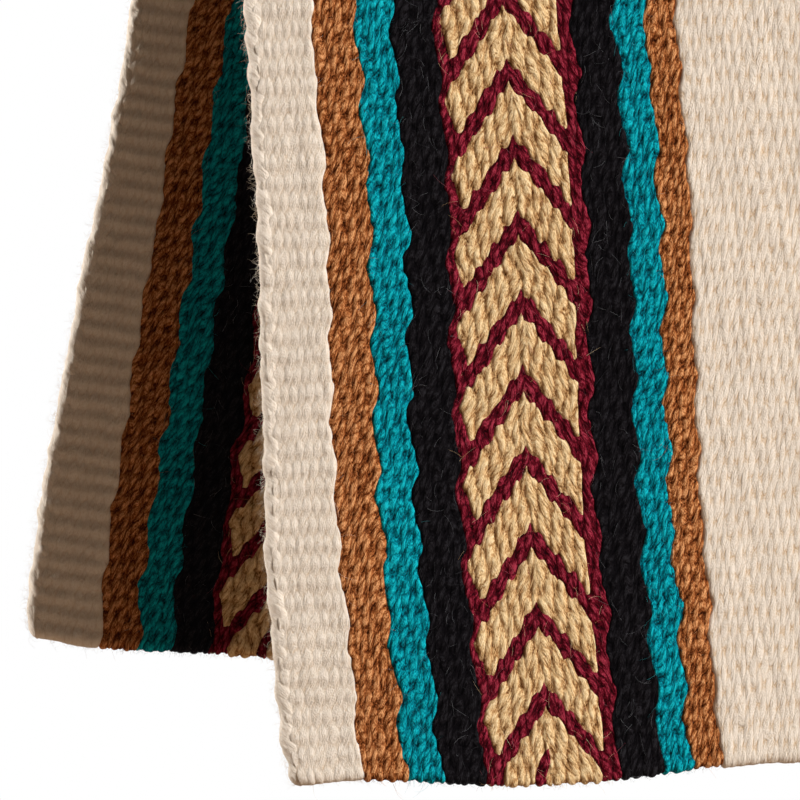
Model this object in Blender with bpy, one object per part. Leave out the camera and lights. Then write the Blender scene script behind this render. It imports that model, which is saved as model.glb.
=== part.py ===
"""A thick hand-woven wool saddle blanket, hung over a flat-topped rail.

Every piece is modelled flat, as it lies on the loom, and is then draped over the rail. On the
loom, s runs along the horse's spine, t runs across it from the front hem (negative) to the rear
hem, and w is the height above the cloth's middle surface. Hung up, X runs along the rail, the
front drop hangs at -Y, and Z is up from the flat underside that rests on the rail.
"""

import math

import bmesh
import bpy
from mathutils import Matrix, Vector

# The cloth, in metres
CLOTH_THICKNESS = 0.006
HEM_TO_HEM = 0.864
WARP_PITCH = 0.006
SELVAGE_SWELL = 0.0012
END_CORD_DIAMETER = 0.0058
BAND_GAP = 0.0003

# Widths of the weft bands at each end of the blanket, and of the plain field between them
CREAM_BORDER_WIDTH = 0.0158
OUTER_COPPER_WIDTH = 0.0129
OUTER_TEAL_WIDTH = 0.0112
OUTER_BLACK_WIDTH = 0.0131
CHEVRON_BAND_WIDTH = 0.0427
INNER_BLACK_WIDTH = 0.0129
INNER_TEAL_WIDTH = 0.0096
INNER_COPPER_WIDTH = 0.0091
FIELD_WIDTH = 0.644

# The chevrons: maroon lines that join two maroon borders and are let into both faces of the gold
MAROON_BORDER_WIDTH = 0.0034
MAROON_LINE_HEIGHT = 0.0078
INLAY_DEPTH = 0.0015
CUTTER_OVERRUN = 0.001
CHEVRON_WARPS = 4

# How the blanket lies over the rail
RAIL_FLAT_WIDTH = 0.049
SHOULDER_RADIUS = 0.030
REAR_OVERHANG = 0.024
SKEW_ANGLE = math.radians(5.8)

# The slow wave that the hems hang in
WAVE_HEIGHT = 0.007
WAVE_LENGTH = 0.42
FRONT_CREST_FROM_END = 0.065
REAR_CREST_FROM_END = 0.17

# Facets
SHOULDER_STEPS = 6
ROLL_STEPS = 3
WAVE_COLUMNS = 14
CORD_DROP_POINTS = 3
CORD_BEVEL_RESOLUTION = 2
ROLL_FIRST_ANGLE = math.radians(25)
SHARP_ANGLE = math.radians(35)
FLAT_ANGLE = math.radians(1)

# Colours as shares of full red, green and blue
CREAM = (0.85, 0.78, 0.70)
COPPER = (0.66, 0.39, 0.21)
TEAL = (0.01, 0.55, 0.59)
BLACK = (0.08, 0.07, 0.08)
MAROON = (0.40, 0.04, 0.13)
GOLD = (0.82, 0.67, 0.45)
YARN_ROUGHNESS = 0.9
DISPLAY_GAMMA = 2.2

HALF_THICKNESS = CLOTH_THICKNESS / 2
HALF_SPAN = HEM_TO_HEM / 2

BANDS = (
    ("cream_border", CREAM_BORDER_WIDTH, CREAM),
    ("outer_copper_stripe", OUTER_COPPER_WIDTH, COPPER),
    ("outer_teal_stripe", OUTER_TEAL_WIDTH, TEAL),
    ("outer_black_stripe", OUTER_BLACK_WIDTH, BLACK),
    ("gold_chevrons", CHEVRON_BAND_WIDTH, GOLD),
    ("inner_black_stripe", INNER_BLACK_WIDTH, BLACK),
    ("inner_teal_stripe", INNER_TEAL_WIDTH, TEAL),
    ("inner_copper_stripe", INNER_COPPER_WIDTH, COPPER),
)
END_PATTERN_WIDTH = END_CORD_DIAMETER + BAND_GAP + sum(width + BAND_GAP for _, width, _ in BANDS)
HALF_LENGTH = END_PATTERN_WIDTH + FIELD_WIDTH / 2


def rail_section():
    """The middle surface in the YZ plane, from the rail's middle outwards, as (run, place, slant).

    run is the distance along the cloth, and slant is the mitred thickness direction there, so
    the cloth keeps its thickness round each bend.
    """
    radius = SHOULDER_RADIUS + HALF_THICKNESS
    places = [Vector((0, HALF_THICKNESS))]
    for step in range(SHOULDER_STEPS + 1):
        turn = math.pi / 2 * step / SHOULDER_STEPS
        across = RAIL_FLAT_WIDTH / 2 + radius * math.sin(turn)
        places.append(Vector((across, HALF_THICKNESS - radius + radius * math.cos(turn))))
    places.append(places[-1] - Vector((0, HEM_TO_HEM)))
    directions = [(b - a).normalized() for a, b in zip(places, places[1:])]
    before = [directions[0]] + directions
    after = directions + [directions[-1]]
    section, run = [], 0
    for index, place in enumerate(places):
        if index:
            run += (place - places[index - 1]).length
        mean = (before[index] + after[index]).normalized()
        slant = Vector((-mean.y, mean.x)) / mean.dot(after[index])
        section.append((run, place, slant))
    return section


SECTION = rail_section()
SHOULDER_END_RUN = SECTION[-2][0]


def selvage_rows():
    """Rows of the rolled hem as (distance from the hem, half thickness): an arc that ends flush."""
    radius = (CLOTH_THICKNESS + SELVAGE_SWELL) / 2
    last_angle = math.pi - math.asin(HALF_THICKNESS / radius)
    rows = []
    for step in range(ROLL_STEPS + 1):
        angle = ROLL_FIRST_ANGLE + (last_angle - ROLL_FIRST_ANGLE) * step / ROLL_STEPS
        distance = radius * (math.cos(ROLL_FIRST_ANGLE) - math.cos(angle))
        rows.append((distance, radius * math.sin(angle)))
    return rows


SELVAGE_ROWS = selvage_rows()
ROLL_WIDTH = SELVAGE_ROWS[-1][0]


def half_thickness_at(distance):
    """Half the cloth's thickness at a distance from its hem."""
    for (near, near_half), (far, far_half) in zip(SELVAGE_ROWS, SELVAGE_ROWS[1:]):
        if distance < far:
            return near_half + (far_half - near_half) * (distance - near) / (far - near)
    return HALF_THICKNESS


def wave_at(along, side):
    """How far the drop on one side of the rail swings outwards, for a full drop."""
    crest = FRONT_CREST_FROM_END if side < 0 else REAR_CREST_FROM_END
    phase = (along + HALF_LENGTH - crest) / WAVE_LENGTH
    return WAVE_HEIGHT * math.cos(2 * math.pi * phase)


def run_at(s, t):
    """Distance across the rail, along the cloth, of a point of the flat blanket."""
    return s * math.sin(SKEW_ANGLE) + t * math.cos(SKEW_ANGLE) + REAR_OVERHANG


def drape(s, t, w):
    """The place in the hung blanket of a point of the flat one."""
    along = s * math.cos(SKEW_ANGLE) - t * math.sin(SKEW_ANGLE)
    run = run_at(s, t)
    side = -1 if run < 0 else 1
    for (near_run, near, near_slant), (far_run, far, far_slant) in zip(SECTION, SECTION[1:]):
        if abs(run) <= far_run:
            break
    share = (abs(run) - near_run) / (far_run - near_run)
    place = near.lerp(far, share)
    slant = near_slant.lerp(far_slant, share)
    height = w * half_thickness_at(HALF_SPAN - abs(t)) / HALF_THICKNESS
    drop = max(0, abs(run) - SHOULDER_END_RUN)
    across = place.x + slant.x * height + wave_at(along, side) * drop / HALF_SPAN
    return Vector((along, side * across, place.y + slant.y * height))


def cut_along(shape, point, normal):
    """Add an edge line to a flat piece where it will bend."""
    parts = shape.verts[:] + shape.edges[:] + shape.faces[:]
    bmesh.ops.bisect_plane(shape, geom=parts, plane_co=point, plane_no=normal)


def cut_bends(shape):
    """Cut a flat piece at every bend line over the rail and every row of the rolled hems."""
    across_rail = Vector((math.sin(SKEW_ANGLE), math.cos(SKEW_ANGLE), 0))
    for side in (-1, 1):
        for run, _, _ in SECTION[1:-1]:
            cut_along(shape, across_rail * (side * run - REAR_OVERHANG), across_rail)
        for distance, _ in SELVAGE_ROWS[1:]:
            cut_along(shape, Vector((0, side * (HALF_SPAN - distance), 0)), Vector((0, 1, 0)))


def hang(flat, columns=0):
    """Drape a flat piece over the rail, cut at every bend line, hem row and wave column."""
    shape = bmesh.new()
    shape.from_mesh(flat)
    bmesh.ops.dissolve_limit(shape, angle_limit=FLAT_ANGLE, verts=shape.verts, edges=shape.edges)
    cut_bends(shape)
    along_rail = Vector((math.cos(SKEW_ANGLE), -math.sin(SKEW_ANGLE), 0))
    for column in range(1, columns):
        cut_along(shape, along_rail * FIELD_WIDTH * (column / columns - 1 / 2), along_rail)
    bmesh.ops.triangulate(shape, faces=shape.faces)
    for vertex in shape.verts:
        vertex.co = drape(*vertex.co)
    bmesh.ops.recalc_face_normals(shape, faces=shape.faces)
    shape.to_mesh(flat)
    shape.free()
    flat.shade_smooth()
    flat.set_sharp_from_angle(angle=SHARP_ANGLE)


def yarn(name, colour):
    """A plain wool material."""
    material = bpy.data.materials.new(name)
    material.use_nodes = True
    shader = material.node_tree.nodes["Principled BSDF"]
    linear = [share ** DISPLAY_GAMMA for share in colour]
    shader.inputs["Base Color"].default_value = (*linear, 1)
    shader.inputs["Roughness"].default_value = YARN_ROUGHNESS
    shader.inputs["Metallic"].default_value = 0
    material.diffuse_color = (*linear, 1)
    return material


def add_piece(name, data, colour, collection):
    """Put a mesh or curve in the scene as one named piece with its own material."""
    piece = bpy.data.objects.new(name, data)
    data.materials.append(yarn(name, colour))
    collection.objects.link(piece)
    return piece


def flat_strip(name, centre, width, height=CLOTH_THICKNESS):
    """A strip of flat cloth from hem to hem, from a unit cube."""
    shape = bmesh.new()
    scale = Matrix.Diagonal((width, HEM_TO_HEM, height, 1))
    bmesh.ops.create_cube(shape, size=1, matrix=Matrix.Translation((centre, 0, 0)) @ scale)
    data = bpy.data.meshes.new(name)
    shape.to_mesh(data)
    shape.free()
    return data


def chevron_lines(centre, growth):
    """Outlines of the maroon lines, each grown by a clearance; all point up to the spine."""
    inner_half = CHEVRON_BAND_WIDTH / 2 - MAROON_BORDER_WIDTH
    period = CHEVRON_WARPS * WARP_PITCH
    slope = period / inner_half
    reach = inner_half + CUTTER_OVERRUN
    rise = growth * math.hypot(1, slope)
    first_apex = HALF_SPAN - ROLL_WIDTH - MAROON_LINE_HEIGHT - slope * reach
    outlines = []
    for side in (-1, 1):
        for copy in range(int(first_apex / period) + 1):
            apex = first_apex - copy * period - rise
            end = apex + slope * reach
            line = MAROON_LINE_HEIGHT + 2 * rise
            corners = ((-reach, end), (0, apex), (reach, end),
                       (reach, end + line), (0, apex + line), (-reach, end + line))
            outlines.append([(centre + s, side * t) for s, t in corners])
    return outlines


def inlay(name, outlines, floor, top):
    """Prisms on both faces of the cloth, from floor to top above its middle surface."""
    shape = bmesh.new()
    for side in (-1, 1):
        curve = bpy.data.curves.new(name, "CURVE")
        curve.dimensions = "2D"
        curve.fill_mode = "BOTH"
        curve.extrude = (top - floor) / 2
        for outline in outlines:
            spline = curve.splines.new("POLY")
            spline.points.add(len(outline) - 1)
            for point, (s, t) in zip(spline.points, outline):
                point.co = (s, t, 0, 1)
            spline.use_cyclic_u = True
        solid = bpy.data.objects.new(name, curve)
        bpy.context.scene.collection.objects.link(solid)
        evaluated = solid.evaluated_get(bpy.context.evaluated_depsgraph_get())
        data = bpy.data.meshes.new_from_object(evaluated)
        data.transform(Matrix.Translation((0, 0, side * (floor + top) / 2)))
        shape.from_mesh(data)
        bpy.data.objects.remove(solid)
        bpy.data.meshes.remove(data)
    bmesh.ops.remove_doubles(shape, verts=shape.verts, dist=BAND_GAP / 10)
    bmesh.ops.recalc_face_normals(shape, faces=shape.faces)
    data = bpy.data.meshes.new(name)
    shape.to_mesh(data)
    shape.free()
    return data


def combine(body, tool, operation):
    """The flat mesh that is left when a tool mesh is added to a body or cut from it."""
    collection = bpy.context.scene.collection
    body_object = bpy.data.objects.new("body", body)
    tool_object = bpy.data.objects.new("tool", tool)
    collection.objects.link(body_object)
    collection.objects.link(tool_object)
    modifier = body_object.modifiers.new("Combine", "BOOLEAN")
    modifier.operation = operation
    modifier.object = tool_object
    evaluated = body_object.evaluated_get(bpy.context.evaluated_depsgraph_get())
    result = bpy.data.meshes.new_from_object(evaluated)
    bpy.data.objects.remove(body_object)
    bpy.data.objects.remove(tool_object)
    return result


def maroon_lattice(name, centre, collection):
    """The maroon weft: a border along each side of the gold, joined by the chevrons' lines."""
    offset = (CHEVRON_BAND_WIDTH - MAROON_BORDER_WIDTH) / 2
    borders = bmesh.new()
    for side in (-1, 1):
        borders.from_mesh(flat_strip(name, centre + side * offset, MAROON_BORDER_WIDTH))
    data = bpy.data.meshes.new(name)
    borders.to_mesh(data)
    borders.free()
    lines = inlay(name, chevron_lines(centre, 0), HALF_THICKNESS - INLAY_DEPTH, HALF_THICKNESS)
    data = combine(data, lines, "UNION")
    hang(data)
    return add_piece(name, data, MAROON, collection)


def gold_chevrons(name, centre, collection):
    """The gold weft: one strip between the maroon borders, with a groove for each maroon line."""
    width = CHEVRON_BAND_WIDTH - 2 * MAROON_BORDER_WIDTH - 2 * BAND_GAP
    floor = HALF_THICKNESS - INLAY_DEPTH - BAND_GAP
    grooves = inlay(name, chevron_lines(centre, BAND_GAP), floor, HALF_THICKNESS + CUTTER_OVERRUN)
    data = combine(flat_strip(name, centre, width), grooves, "DIFFERENCE")
    hang(data)
    return add_piece(name, data, GOLD, collection)


def stripe(name, centre, width, colour, collection, columns=0):
    """One band of plain weft, rolled round the outermost warp at both hems."""
    data = flat_strip(name, centre, width)
    hang(data, columns)
    return add_piece(name, data, colour, collection)


def end_cord(name, centre, collection):
    """The twined cord that binds the warp ends, as a tube from hem to hem."""
    runs = [side * run for side in (-1, 1) for run, _, _ in SECTION[1:-1]]
    stops = [(run - run_at(centre, 0)) / math.cos(SKEW_ANGLE) for run in runs]
    first, last = min(stops), max(stops)
    for step in range(CORD_DROP_POINTS):
        share = step / CORD_DROP_POINTS
        stops.append(-HALF_SPAN + (first + HALF_SPAN) * share)
        stops.append(HALF_SPAN + (last - HALF_SPAN) * share)
    curve = bpy.data.curves.new(name, "CURVE")
    curve.dimensions = "3D"
    curve.bevel_depth = END_CORD_DIAMETER / 2
    curve.bevel_resolution = CORD_BEVEL_RESOLUTION
    curve.use_fill_caps = True
    spline = curve.splines.new("POLY")
    spline.points.add(len(stops) - 1)
    for point, t in zip(spline.points, sorted(stops)):
        point.co = (*drape(centre, t, 0), 1)
    return add_piece(name, curve, CREAM, collection)


def build():
    """Build the whole blanket."""
    for old in list(bpy.data.objects):
        bpy.data.objects.remove(old)
    collection = bpy.data.collections.new("saddle_blanket")
    bpy.context.scene.collection.children.link(collection)
    for side, end in ((-1, "left"), (1, "right")):
        end_cord(f"{end}_end_cord", side * (HALF_LENGTH - END_CORD_DIAMETER / 2), collection)
        edge = HALF_LENGTH - END_CORD_DIAMETER - BAND_GAP
        for band, width, colour in BANDS:
            centre = side * (edge - width / 2)
            if band == "gold_chevrons":
                gold_chevrons(f"{end}_{band}", centre, collection)
                maroon_lattice(f"{end}_maroon_lattice", centre, collection)
            else:
                stripe(f"{end}_{band}", centre, width, colour, collection)
            edge -= width + BAND_GAP
    stripe("cream_field", 0, FIELD_WIDTH, CREAM, collection, WAVE_COLUMNS)


build()
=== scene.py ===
"""The looks of a thick hand-woven wool saddle blanket that hangs over a rail.

On the loom, s runs along the horse's spine, t runs across it from the front hem (negative) to
the rear hem, and w is the height above the cloth's middle surface. Hung up, X runs along the
rail, the front drop hangs at -Y and Z is up.

A row of the cloth goes once round it: along the outer face from the front hem to the rear one,
round that hem, back along the inner face, and round the front hem. v counts the ribs on that
way, and a whole number is the middle of a rib. Each band of weft is one closed mesh with the
weave in its surface, whose edges dip under those of the next band.
"""

from functools import partial, partialmethod
import math

import bpy
import numpy as np
from mathutils import Matrix, Vector


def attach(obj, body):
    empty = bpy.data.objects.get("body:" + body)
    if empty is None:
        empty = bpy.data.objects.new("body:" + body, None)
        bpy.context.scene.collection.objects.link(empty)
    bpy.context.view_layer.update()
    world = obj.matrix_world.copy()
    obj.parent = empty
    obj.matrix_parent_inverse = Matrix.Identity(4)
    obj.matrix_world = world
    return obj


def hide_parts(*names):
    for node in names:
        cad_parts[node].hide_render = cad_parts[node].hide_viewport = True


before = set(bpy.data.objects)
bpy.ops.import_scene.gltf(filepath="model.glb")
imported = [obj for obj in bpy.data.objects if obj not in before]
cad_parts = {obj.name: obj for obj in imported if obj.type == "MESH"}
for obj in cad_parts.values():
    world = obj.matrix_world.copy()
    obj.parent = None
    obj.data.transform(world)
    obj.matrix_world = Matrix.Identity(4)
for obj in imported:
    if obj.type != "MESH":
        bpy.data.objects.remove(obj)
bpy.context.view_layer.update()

# The flat cloth and its bands, in metres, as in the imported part
CLOTH_THICKNESS = 0.006
HEM_TO_HEM = 0.864
WARP_PITCH = 0.006
END_CORD_DIAMETER = 0.0058
BAND_GAP = 0.0003
CHEVRON_BAND_WIDTH = 0.0427
FIELD_WIDTH = 0.644
MAROON_BORDER_WIDTH = 0.0034
HALF_THICKNESS = CLOTH_THICKNESS / 2
HALF_SPAN = HEM_TO_HEM / 2

# How it lies over the rail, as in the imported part
RAIL_FLAT_WIDTH = 0.049
SHOULDER_RADIUS = 0.030
REAR_OVERHANG = 0.024
SKEW_ANGLE = math.radians(5.8)
WAVE_HEIGHT = 0.007
WAVE_LENGTH = 0.42
FRONT_CREST_FROM_END = 0.065
REAR_CREST_FROM_END = 0.17
BEND_RADIUS = SHOULDER_RADIUS + HALF_THICKNESS
SHOULDER_END_RUN = RAIL_FLAT_WIDTH / 2 + BEND_RADIUS * math.pi / 2

# How the photographed end has settled on the rail, in the cloth's own plane. The hems bow up and
# down, the corners pull in, and the stripes sway
BOW_HEIGHT = 0.0027
BOW_LENGTH = 0.145
BOW_CREST_FROM_END = 0.015
BOW_REACH_UP = 0.16
BOW_REACH_ALONG = 0.30
CORNER_PULL = 0.0034
CORNER_REACH_ALONG = 0.16
CORNER_REACH_FRONT = 0.014
CORNER_REACH_REAR = 0.008
CORNER_REACH_GROWTH = 0.016
CORNER_REACH_GROWS_OVER = 0.030
SWAY = 0.0008
SWAY_LENGTH = 0.170
SWAY_CREST = 0.180
EDGE_SWAY = 0.0011
EDGE_SWAY_LENGTH = 0.270
EDGE_SWAY_MIDDLE = 0.135
EDGE_SWAY_REACH = 0.022
REAR_DRIFT = 0.0012
REAR_EDGE_LOW = -0.0013
REAR_EDGE_HIGH = 0.0034
REAR_EDGE_RISE_FROM = 0.050
REAR_EDGE_RISE_TO = 0.210
CROWN_FROM_SHARE = 0.95
CROWN_TO_SHARE = 0.62
SETTLED_LENGTH = 0.34

# The ribs, counted round the cloth
RIBS = round(HEM_TO_HEM / WARP_PITCH)
LAST_RIB = RIBS - 1
RIBS_ROUND = 2 * RIBS
LAST_RIB_PLACE = HALF_SPAN - WARP_PITCH / 2
HEM_RIBS = 44
SELVAGE_SWELL = 0.0005
SELVAGE_SWELL_REACH = 0.009

# The chevrons: the place of the last full one above the hem, the steps in their lines, and the
# short slash of maroon under the last one
CHEVRON_WARPS = 4
LAST_APEX_ABOVE_HEM = 0.0328
MAROON_LINE_HEIGHT = 0.0078
STEP_SHARE = 0.85
STEP_WIDTH = 0.0047
STEP_PHASE = 0.57
OUTER_ARM_SPREAD = 0.0030
OUTER_ARM_INSET = 0.0003
INNER_ARM_INSET = 0.0008
SLASH_TOP = 0.0127
SLASH_LEAN = 0.40
SLASH_HALF_WIDTH = 0.0018
SLASH_TAPER = 0.45
SLASH_STEEPNESS = 1.7
MAROON_SINK = 0.0002

# How far the edges of a band run under the next, and how yarn rounds off there
TUCK = 0.0013
EDGE_ROUNDING = 0.0010
EDGE_CURVE = 550.0
TUCKED_HEIGHT = 0.0004
GROOVE_DEPTH = 0.0016
CORD_LAP = 0.0026
BORDER_OVER_CORD = 0.62

# How the edge of a band swings out and back in every four ribs, as its picks come up in turn
EDGE_STEP = 0.0010
EDGE_STEP_CREST = 0.2
EDGE_STEP_NOTCH = 0.28
EDGE_STEP_NOTCH_LEAD = 0.45
EDGE_STEP_UNEVENNESS = 0.3
EDGE_STEP_CELL_RIBS = 4
INNER_FACE_LAG = 0.7

# How uneven hand weaving is: the size of each kind of wander, then the cells of its noise
PICK_SWAYS = ((0.10, 2.1, 1.5), (0.30, 0.3, 8))
RIB_SWAYS = ((1, 0.0019, 2), (0.6, 0.009, 3))
STROKE_LIFT = (0.00012, 2.3, 0.9)
LUMP_HEIGHT = 0.00022
LUMP_CELLS = ((0.009, 0.011), (0.004, 0.007))
EDGE_WANDERS = ((0.0005, 0.021), (0.0003, 0.009), (0.00022, 0.0026))
APEX_WANDERS = ((0.0005, 0.004, 0.008), (0.0004, 0.0016, 0.0024))
MAROON_BORDER_WANDER = (0.0003, 0.006)
NOISE_TABLE_SHAPE = (61, 67)

PHOTO_PIXELS = 800
FULL_TURN = 2 * math.pi
MILLIMETRES = 1000


class Yarn:
    """How one colour of weft lies.

    In plain weave (2 shafts) each pick passes over one rib and under the next. In twill (4
    shafts) it passes over two and under two, one rib further down with each pick. A repeat is
    the width of as many picks as there are shafts. lean is how many repeats a float leans over
    in a rib, on top of what the picks beside it make it lean. lag is how many ribs its middle
    lies before a rib's. wide is half the width of a float at its middle and taper what it loses
    in a rib, in repeats. reach is how many ribs from its middle it dives out of sight, and
    stray how many ribs it may be out of place. side, end and rib are how many metres a float
    falls to its sides and its ends, and the cloth between two ribs.
    """

    def __init__(self, slot, shafts, repeat, lean=0.0, side=0.0009, end=0.0010, rib=0.00045):
        twill = shafts > 2
        self.slot, self.shafts, self.repeat = slot, shafts, repeat
        self.lean = lean + (1 / shafts if twill else 0)
        self.lag, self.stray = (0.5, 0.24) if twill else (0.0, 0.07)
        self.wide, self.taper, self.reach = (0.31, 0.13, 1.30) if twill else (0.52, 0.34, 1.0)
        self.side, self.end, self.rib = side, end, rib


CREAM_PLAIN = Yarn("cream_wool", 2, 0.00275, lean=0.05, side=0.00023, end=0.00026, rib=0.00060)
CREAM_TWILL = Yarn("cream_wool", 4, 0.00325, side=0.00018, end=0.00024, rib=0.00010)
COPPER = Yarn("copper_wool", 4, 0.00415, lean=0.02)
TEAL = Yarn("teal_wool", 4, 0.00415, lean=0.02)
FINE_COPPER = Yarn("copper_wool", 4, 0.00330, lean=0.02, side=0.0008)
FINE_TEAL = Yarn("teal_wool", 4, 0.00370, lean=0.02, side=0.0008)
BLACK = Yarn("black_wool", 4, 0.00420, side=0.0008)
MAROON = Yarn("maroon_wool", 4, 0.00380, lean=-0.05, side=0.0008)
GOLD = Yarn("gold_wool", 4, 0.00449, lean=-0.08, side=0.0010, end=0.0011)
LEAST_WIDE = 0.08

# The picks lean the other way past the middle of the chevrons, from half a float further on
MIRROR_SHIFT = 0.4
MIRROR_WANDER = 0.0012
MIRROR_CELL_RIBS = 1.5

# The bands at each end, from the end cord inwards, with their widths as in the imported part
BANDS = (
    ("cream_border", 0.0158, CREAM_PLAIN),
    ("outer_copper_stripe", 0.0129, COPPER),
    ("outer_teal_stripe", 0.0112, TEAL),
    ("outer_black_stripe", 0.0131, BLACK),
    ("gold_chevrons", CHEVRON_BAND_WIDTH, GOLD),
    ("inner_black_stripe", 0.0129, BLACK),
    ("inner_teal_stripe", 0.0096, FINE_TEAL),
    ("inner_copper_stripe", 0.0091, FINE_COPPER),
)
END_PATTERN_WIDTH = END_CORD_DIAMETER + (len(BANDS) + 1) * BAND_GAP + sum(
    width for _, width, _ in BANDS)
HALF_LENGTH = END_PATTERN_WIDTH + FIELD_WIDTH / 2


def rise(x, low, high):
    """0 below low and 1 above high, with a smooth rise between."""
    share = np.clip((x - low) / (high - low), 0, 1)
    return share * share * (3 - 2 * share)


def settle(s, t):
    """Where the points of the flat cloth have settled in its plane, at the photographed end."""
    from_end = s + HALF_LENGTH
    above = HALF_SPAN - np.abs(t)
    front = t < 0
    fade = rise(above, BOW_REACH_UP, 0) * rise(from_end, BOW_REACH_ALONG, 0)
    t = t + BOW_HEIGHT * fade * np.cos(FULL_TURN * (from_end - BOW_CREST_FROM_END) / BOW_LENGTH)
    reach = np.where(front, CORNER_REACH_FRONT, CORNER_REACH_REAR)
    reach = reach + CORNER_REACH_GROWTH * rise(from_end, 0, CORNER_REACH_GROWS_OVER)
    shift = CORNER_PULL * np.exp(-above / reach) * np.clip(1 - from_end / CORNER_REACH_ALONG, 0, 1)
    inside = rise(from_end, 0, EDGE_SWAY_REACH)
    sway = SWAY * np.cos(FULL_TURN * (above - SWAY_CREST) / SWAY_LENGTH)
    edge_sway = EDGE_SWAY * np.sin(FULL_TURN * (above - EDGE_SWAY_MIDDLE) / EDGE_SWAY_LENGTH)
    climb = rise(above, REAR_EDGE_RISE_FROM, REAR_EDGE_RISE_TO)
    rear_edge = REAR_EDGE_LOW + (REAR_EDGE_HIGH - REAR_EDGE_LOW) * climb
    outer = np.where(front, edge_sway, rear_edge)
    inner = np.where(front, sway, REAR_DRIFT)
    crown = rise(above, HALF_SPAN * CROWN_FROM_SHARE, HALF_SPAN * CROWN_TO_SHARE)
    ease = crown * rise(from_end, SETTLED_LENGTH, SETTLED_LENGTH / 2)
    return s + shift + (outer + (inner - outer) * inside) * ease, t


def drape(s, t, w):
    """The places in the hung blanket of points of the flat one, as X, Y and Z."""
    s, t = settle(s, t)
    along = s * math.cos(SKEW_ANGLE) - t * math.sin(SKEW_ANGLE)
    run = s * math.sin(SKEW_ANGLE) + t * math.cos(SKEW_ANGLE) + REAR_OVERHANG
    side = np.where(run < 0, -1, 1)
    far = np.abs(run)
    turn = np.clip((far - RAIL_FLAT_WIDTH / 2) / BEND_RADIUS, 0, math.pi / 2)
    drop = np.maximum(0, far - SHOULDER_END_RUN)
    crest = np.where(run < 0, FRONT_CREST_FROM_END, REAR_CREST_FROM_END)
    wave = WAVE_HEIGHT * np.cos(FULL_TURN * (along + HALF_LENGTH - crest) / WAVE_LENGTH)
    across = np.minimum(far, RAIL_FLAT_WIDTH / 2) + (BEND_RADIUS + w) * np.sin(turn)
    across += wave * drop / HALF_SPAN
    height = HALF_THICKNESS - BEND_RADIUS - drop + (BEND_RADIUS + w) * np.cos(turn)
    return np.stack([along, side * across, height], axis=-1)


def round_the_cloth(v):
    """Where a row is in the flat cloth: its t and w on the surface, and its outward direction."""
    front_hem = v > RIBS_ROUND - 1
    rear_hem = (v > LAST_RIB) & (v < RIBS)
    inner = (v >= RIBS) & ~front_hem
    turn = np.select([rear_hem, front_hem, inner], [v - LAST_RIB, v - LAST_RIB - RIBS + 1, 1.0], 0.0)
    turn = turn * math.pi
    middle = np.select(
        [rear_hem, front_hem, inner],
        [LAST_RIB_PLACE, -LAST_RIB_PLACE, LAST_RIB_PLACE - (v - RIBS) * WARP_PITCH],
        v * WARP_PITCH - LAST_RIB_PLACE)
    hem = np.clip((np.abs(middle) - LAST_RIB_PLACE) / SELVAGE_SWELL_REACH + 1, 0, 1)
    radius = HALF_THICKNESS + SELVAGE_SWELL * hem * hem * (3 - 2 * hem)
    outward_t, outward_w = np.sin(turn), np.cos(turn)
    return middle, outward_t, outward_w, radius


def rows_round(near, far):
    """Rows round the cloth, near to the hems and far from them so many to a rib.

    They start halfway round the front hem, so that row k lies over row -k.
    """
    face = np.concatenate([
        np.arange(0, HEM_RIBS, 1 / near),
        np.arange(HEM_RIBS, LAST_RIB - HEM_RIBS, 1 / far),
        np.arange(LAST_RIB - HEM_RIBS, LAST_RIB + 0.5 / near, 1 / near)])
    arc = np.arange(1, near) / (2 * near)
    hem = np.concatenate([arc, [0.5], 1 - arc[::-1]])
    start = RIBS_ROUND - 1 + hem[hem >= 0.5]
    return np.concatenate([start, face, LAST_RIB + hem, RIBS + face, RIBS_ROUND - 1 + hem[hem < 0.5]])


def smooth_noise(a, b, seed, turns=0):
    """Noise from -1 to 1 that changes smoothly over whole steps of a and b. b repeats after turns."""
    rows, columns = NOISE_TABLE_SHAPE
    table = np.random.default_rng(seed).uniform(-1, 1, (rows, turns or columns))
    low_a, low_b = np.floor(a), np.floor(b)
    share_a, share_b = a - low_a, b - low_b
    share_a = share_a * share_a * (3 - 2 * share_a)
    share_b = share_b * share_b * (3 - 2 * share_b)
    i, j = low_a.astype(int) % table.shape[0], low_b.astype(int) % table.shape[1]
    i_next, j_next = (i + 1) % table.shape[0], (j + 1) % table.shape[1]
    near = table[i, j] * (1 - share_b) + table[i, j_next] * share_b
    far = table[i_next, j] * (1 - share_b) + table[i_next, j_next] * share_b
    return near * (1 - share_a) + far * share_a


def noise_round(a, v, ribs, seed):
    """Smooth noise over a and round the cloth, with cells so many ribs long."""
    return smooth_noise(a, v / ribs, seed, int(RIBS_ROUND / ribs))


def uneven(s, v, yarn, seed, mirror_at=None):
    """Places in the weave, in repeats and ribs. Hand-laid picks wander from a perfect grid."""
    u = s / yarn.repeat
    if mirror_at is not None:
        x = s - mirror_at - MIRROR_WANDER * noise_round(v * 0, v, MIRROR_CELL_RIBS, seed + 6)
        u = MIRROR_SHIFT * (x > 0) - np.abs(x) / yarn.repeat
    for number, (size, rate, ribs) in enumerate(PICK_SWAYS):
        u = u + size * noise_round(s / yarn.repeat * rate, v, ribs, seed + number)
    for number, (size, cell, ribs) in enumerate(RIB_SWAYS):
        v = v + yarn.stray * size * noise_round(s / cell, v, ribs, seed + 2 + number)
    return u, v


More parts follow.
